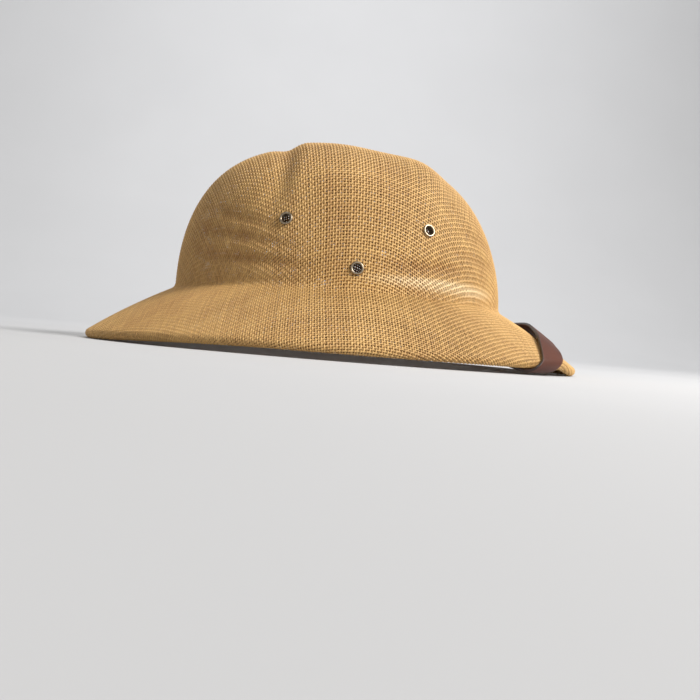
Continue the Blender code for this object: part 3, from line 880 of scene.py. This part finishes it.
def eyelet_profile():
    """A rolled flange outside, a tube through the wall and a flat flange inside, closed again."""
    barrel = EYELET_HOLE_RADIUS + EYELET_TUBE
    middle = (EYELET_HOLE_RADIUS + EYELET_RADIUS) / 2
    half = (EYELET_RADIUS - EYELET_HOLE_RADIUS) / 2
    outside, inside = EYELET_SEAT, -WALL - EYELET_SEAT
    profile = [(barrel, outside)]
    for turn in np.radians(np.linspace(0.0, 180.0, EYELET_FLANGE_STEPS)):
        rise = EYELET_FLANGE * math.sin(turn) ** EYELET_FLANGE_FULLNESS
        profile.append((middle + half * math.cos(turn), outside + rise))
    profile += [
        (EYELET_HOLE_RADIUS, inside - EYELET_FLANGE / 2),
        (EYELET_RADIUS, inside - EYELET_FLANGE / 2),
        (EYELET_RADIUS, inside),
        (barrel, inside),
        (barrel, outside),
    ]
    return profile


def copies_on_wall(first, places):
    """Copies of a piece, each with its own mesh, standing on their places on the wall."""
    made = []
    for name, point, outwards in places:
        item = bpy.data.objects.new(name, first.data.copy())
        bpy.context.scene.collection.objects.link(item)
        place_in_mesh(item, point, outwards)
        made.append(item)
    bpy.data.objects.remove(first, do_unlink=True)
    return made


def brass_eyelets():
    first = turned_piece("brass_eyelet", eyelet_profile(), EYELET_SIDES)
    return copies_on_wall(first, eyelet_places())


def steel_rivets():
    """The two hidden rivets, each a shank from inside the wall and a domed head."""
    seat = -WALL - STRAP_SEAT - STRAP_END_SEAT - STRAP_THICKNESS
    profile = [(RIVET_RADIUS, -WALL / 2), (RIVET_RADIUS, seat), (RIVET_HEAD_RADIUS, seat)]
    for turn in np.radians(np.linspace(0.0, RIVET_DOME_TURN, RIVET_DOME_STEPS)):
        profile.append((RIVET_HEAD_RADIUS * math.cos(turn), seat - RIVET_HEAD * math.sin(turn)))
    low = crease_height(math.pi / 2)
    height = (STRAP_END_HEIGHT - low + RIVET_ABOVE) / (CROWN_TOP - low)
    places = []
    for side_name, side in (("right", -1), ("left", 1)):
        point, outwards = wall_place(STRAP_END_ALONG + RIVET_BACK, height, side)
        places.append(("steel_rivet_" + side_name, point, outwards))
    return copies_on_wall(turned_piece("steel_rivet", profile, RIVET_SIDES), places)


# Finishes

class Value:
    """A shader socket that adds Math nodes when it is used in an expression."""

    def __init__(self, finish, socket):
        self.finish = finish
        self.socket = socket

    def maths(self, operation, *values):
        return self.finish.node(
            "ShaderNodeMath", {"operation": operation}, dict(enumerate(values))
        )

    def __add__(self, other):
        return self.maths("ADD", self, other)

    def __radd__(self, other):
        return self.maths("ADD", other, self)

    def __sub__(self, other):
        return self.maths("SUBTRACT", self, other)

    def __rsub__(self, other):
        return self.maths("SUBTRACT", other, self)

    def __mul__(self, other):
        return self.maths("MULTIPLY", self, other)

    def __rmul__(self, other):
        return self.maths("MULTIPLY", other, self)

    def step(self, low, high):
        """0 below low, 1 above high, soft between them."""
        return self.finish.node(
            "ShaderNodeMapRange", {"interpolation_type": "SMOOTHSTEP"},
            {"Value": self, "From Min": low, "From Max": high},
        )


class Finish:
    """A material and the nodes that are added to it."""

    def __init__(self, name, **constants):
        self.material = bpy.data.materials.new(name)
        self.material.use_nodes = True
        self.tree = self.material.node_tree
        self.shader = self.tree.nodes["Principled BSDF"]
        for socket, value in constants.items():
            self.shader.inputs[socket.replace("_", " ")].default_value = value

    def node(self, kind, settings, inputs, output=0):
        made = self.tree.nodes.new(kind)
        for name, value in settings.items():
            setattr(made, name, value)
        for name, value in inputs.items():
            if isinstance(value, Value):
                self.tree.links.new(value.socket, made.inputs[name])
            else:
                made.inputs[name].default_value = value
        return Value(self, made.outputs[output])

    def place(self):
        return self.node("ShaderNodeTexCoord", {}, {}, "Object")

    def noise(self, scale, detail=2.0, stretch=(1.0, 1.0, 1.0)):
        spot = self.node("ShaderNodeMapping", {}, {"Vector": self.place(), "Scale": stretch})
        return self.node("ShaderNodeTexNoise", {}, {"Vector": spot, "Scale": scale, "Detail": detail})

    def attribute(self, name):
        return self.node("ShaderNodeAttribute", {"attribute_name": name}, {}, "Fac")

    def blend(self, amount, first, second):
        """A colour between two colours."""
        return self.node(
            "ShaderNodeMix", {"data_type": "RGBA"}, {0: amount, 6: first, 7: second}, 2
        )

    def bump(self, height, strength, distance):
        return self.node(
            "ShaderNodeBump", {}, {"Strength": strength, "Distance": distance, "Height": height}
        )

    def feed(self, socket, value):
        self.tree.links.new(value.socket, self.shader.inputs[socket])


def colour(parts):
    """A colour as seen on a screen, 0 to 255, in the renderer's linear scale."""
    return tuple((part / 255.0) ** 2.2 for part in parts) + (1.0,)


def straw_finish():
    """Strands that differ in tone, with painted shade in the folds, under the crossings and on the inner
    side, and a painted highlight on the ridges.
    """
    straw = Finish("lacquered straw", Roughness=0.5)
    tone = straw.attribute("straw_tone")
    # crest carries the painted shade under the crossings
    crest = straw.attribute("straw_crest")
    folds = straw.attribute("straw_folds")
    outside = straw.attribute("straw_outside")
    fibre = straw.noise(1400.0, 3.0)
    patch = straw.noise(26.0, 3.0)
    # Painted shade: darker where a strand dips under a crossing strand and in the folds, lighter on the
    # ridges; tone, fibre and patch differ at random
    light = tone * 0.28 + crest * 0.42 + fibre * 0.3 + patch * 0.36 - 0.19 - folds * 0.3
    shade = straw.blend(light, colour(STRAW_SHADE), colour(STRAW_LIGHT))
    # Painted highlight on the pressed ridges, where the depth of the folds is below 0
    wear_and_highlight = (folds * -1.0).step(0.05, 0.6) * 0.6
    ridge_highlighted = straw.blend(wear_and_highlight, shade, colour(STRAW_RIDGE_HIGHLIGHT))
    # The inner side is painted darker, as shade
    straw.feed("Base Color", straw.blend(outside.step(-0.2, 0.55), colour(STRAW_INSIDE), ridge_highlighted))
    straw.feed("Roughness", 0.44 + fibre * 0.22)
    straw.feed("Normal", straw.bump(fibre, 0.35, 0.00015))
    return straw.material


def core_finish():
    core = Finish("straw core", Roughness=0.8)
    grain = core.noise(900.0, 3.0)
    core.feed("Base Color", core.blend(grain, *map(colour, CORE_COLOURS)))
    core.feed("Normal", core.bump(grain, 0.4, 0.0003))
    return core.material


def leather_finish():
    leather = Finish("reddish brown leather", Roughness=0.3, Coat_Weight=0.05, Coat_Roughness=0.3)
    grain = leather.noise(1500.0, 4.0)
    patch = leather.noise(60.0, 3.0)
    wear_and_highlight = patch * 0.7 + grain * 0.3
    leather.feed("Base Color", leather.blend(wear_and_highlight, *map(colour, LEATHER_COLOURS)))
    leather.feed("Roughness", 0.46 + grain * 0.2)
    leather.feed("Normal", leather.bump(grain, 0.25, 0.0002))
    return leather.material


def leather_edge_finish():
    edge = Finish("painted leather edge", Roughness=0.45)
    grain = edge.noise(1200.0, 3.0)
    edge.feed("Base Color", edge.blend(grain, *map(colour, LEATHER_EDGE_COLOURS)))
    edge.feed("Normal", edge.bump(grain, 0.3, 0.0002))
    return edge.material


def brass_finish():
    brass = Finish("antique brass", Metallic=1.0)
    spots = brass.noise(900.0, 3.0)
    brass.feed("Base Color", brass.blend(spots, *map(colour, BRASS_COLOURS)))
    brass.feed("Roughness", 0.24 + spots * 0.24)
    brass.feed("Normal", brass.bump(spots, 0.15, 0.0001))
    return brass.material


def steel_finish():
    steel = Finish("rivet steel", Metallic=1.0)
    spots = steel.noise(1100.0, 3.0)
    steel.feed("Base Color", steel.blend(spots, *map(colour, STEEL_COLOURS)))
    steel.feed("Roughness", 0.3 + spots * 0.2)
    return steel.material


# Studio

def camera():
    """The photograph's camera, raised so that it is above the floor."""
    azimuth = math.radians(CAMERA_AZIMUTH)
    spot = Vector((
        CAMERA_DISTANCE * math.sin(azimuth), -CAMERA_DISTANCE * math.cos(azimuth), CAMERA_HEIGHT
    ))
    forward = (Vector(CAMERA_TARGET) - spot).normalized()
    right = forward.cross(Vector(UP)).normalized()
    upright = right.cross(forward)
    roll = math.radians(CAMERA_ROLL)
    turned_right = math.cos(roll) * right + math.sin(roll) * upright
    turned_up = math.cos(roll) * upright - math.sin(roll) * right
    lens = bpy.data.cameras.new("camera")
    lens.sensor_width = SENSOR
    lens.lens = FOCAL / PICTURE * lens.sensor_width
    lens.clip_start = CAMERA_NEAREST
    item = bpy.data.objects.new("camera", lens)
    bpy.context.scene.collection.objects.link(item)
    turn = Matrix((turned_right, turned_up, -forward)).transposed()
    item.matrix_world = Matrix.Translation(spot) @ turn.to_4x4()
    bpy.context.scene.camera = item


def soft_light(name, spot, target, size, power, tint):
    lamp = bpy.data.lights.new(name, "AREA")
    lamp.shape = "DISK"
    lamp.size = size
    lamp.energy = power
    lamp.color = tint
    item = bpy.data.objects.new(name, lamp)
    bpy.context.scene.collection.objects.link(item)
    item.location = spot
    item.rotation_euler = (Vector(target) - Vector(spot)).to_track_quat("-Z", "Y").to_euler()


def studio():
    """A pale floor that curves up into a wall, and soft light from the front right."""
    deselect_all()
    bpy.ops.mesh.primitive_plane_add(size=FLOOR_SIZE, location=(0.0, FLOOR_MIDDLE, 0.0))
    floor = bpy.context.object
    floor.name = "studio_floor"
    bpy.ops.object.transform_apply(location=True, rotation=True, scale=True)
    start_edit(floor, "DESELECT", "EDGE")
    end_edit()
    for edge in floor.data.edges:
        edge.select = all(floor.data.vertices[k].co.y > 0.0 for k in edge.vertices)
    bpy.ops.object.mode_set(mode="EDIT")
    bpy.ops.mesh.extrude_region_move(TRANSFORM_OT_translate={"value": (0.0, 0.0, WALL_HEIGHT)})
    end_edit()
    sweep = floor.modifiers.new("sweep", "BEVEL")
    sweep.width = WALL_ROUNDING
    sweep.segments = WALL_STEPS
    sweep.limit_method = "ANGLE"
    finish_modifiers(floor)
    bpy.ops.object.shade_smooth()
    paper = Finish("studio paper", Roughness=0.9)
    tint = paper.noise(3.0, 2.0)
    paper.feed("Base Color", paper.blend(tint, *map(colour, PAPER_COLOURS)))
    floor.data.materials.append(paper.material)

    world = bpy.data.worlds.new("studio")
    world.use_nodes = True
    sky = world.node_tree.nodes["Background"]
    sky.inputs["Color"].default_value = SKY_TINT
    sky.inputs["Strength"].default_value = SKY_STRENGTH
    bpy.context.scene.world = world
    for light in LIGHTS:
        soft_light(**light)
    bpy.context.scene.view_settings.view_transform = "Standard"


# The dressed hat

def dress():
    table = make_table()
    crossings = make_crossings(table)
    straw = straw_finish()
    halves = [
        weave("straw_lengthwise_left", table, crossings, crosswise=False, positive=True),
        weave("straw_lengthwise_right", table, crossings, crosswise=False, positive=False),
        weave("straw_crosswise_front", table, crossings, crosswise=True, positive=True),
        weave("straw_crosswise_back", table, crossings, crosswise=True, positive=False),
    ]
    for half in halves:
        half.data.materials.append(straw)
    core = roll_core()
    core.data.materials.append(core_finish())
    for piece in [*halves, core]:
        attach(piece, "root")
        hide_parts("shell")

    strap = leather_strap()
    strap.data.materials.append(leather_finish())
    strap.data.materials.append(leather_edge_finish())
    finish_modifiers(strap)
    bpy.ops.object.shade_smooth_by_angle(angle=LEATHER_SHARP_ANGLE)
    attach(strap, "root")
    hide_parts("strap")

    brass = brass_finish()
    for eyelet in brass_eyelets():
        eyelet.data.materials.append(brass)
        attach(eyelet, "root")
        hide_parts(eyelet.name.removeprefix("brass_"))

    steel = steel_finish()
    for rivet in steel_rivets():
        rivet.data.materials.append(steel)
        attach(rivet, "root")
        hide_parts(rivet.name.replace("steel_", "strap_"))


dress()
studio()
camera()
